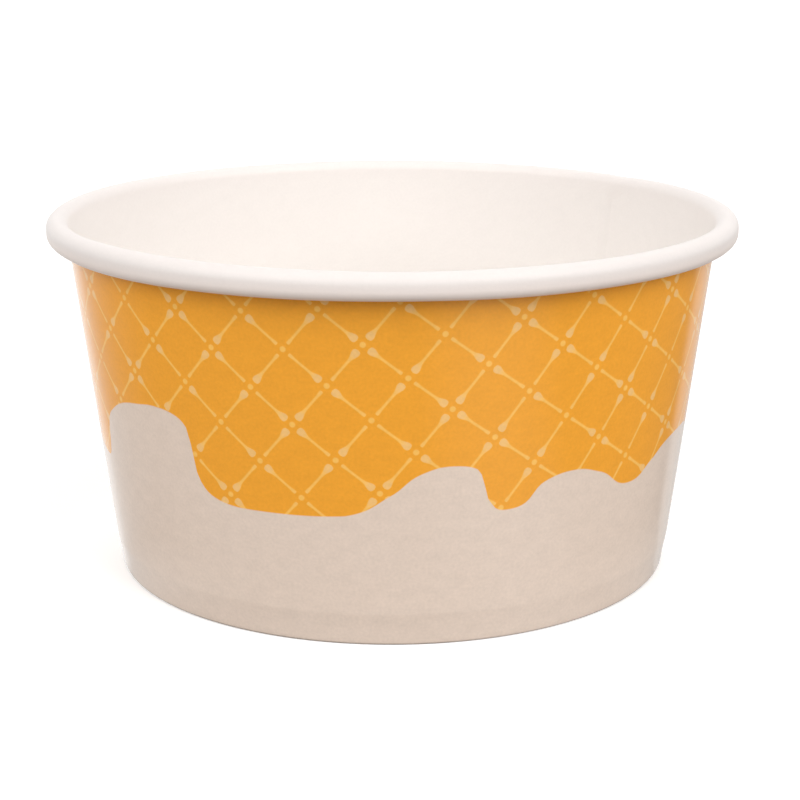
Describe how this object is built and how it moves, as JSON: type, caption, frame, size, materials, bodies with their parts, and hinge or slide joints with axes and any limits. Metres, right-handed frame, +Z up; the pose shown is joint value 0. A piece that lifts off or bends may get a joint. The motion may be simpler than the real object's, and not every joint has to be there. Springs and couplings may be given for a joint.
{
  "type": "paper ice cream bowl",
  "caption": "Round paper tub for ice cream: a tapered printed wall with a lap seam and a rolled rim, and a recessed bottom disc held in the folded foot.",
  "frame": {"origin": "centre of the foot ring, on the plane that the bowl stands on", "axes": "+Z up along the axis of the bowl, -Y towards the side that the picture shows, +X to its right"},
  "size_m": [0.115, 0.115, 0.0597],
  "materials": {
    "printed_board": "coated cup board, printed orange and cream outside, white inside, semi-gloss",
    "white_board": "coated white cup board, semi-gloss"
  },
  "bodies": {
    "root": {"side_wall": "printed_board", "bottom_disc": "white_board"}
  },
  "joints": []
}
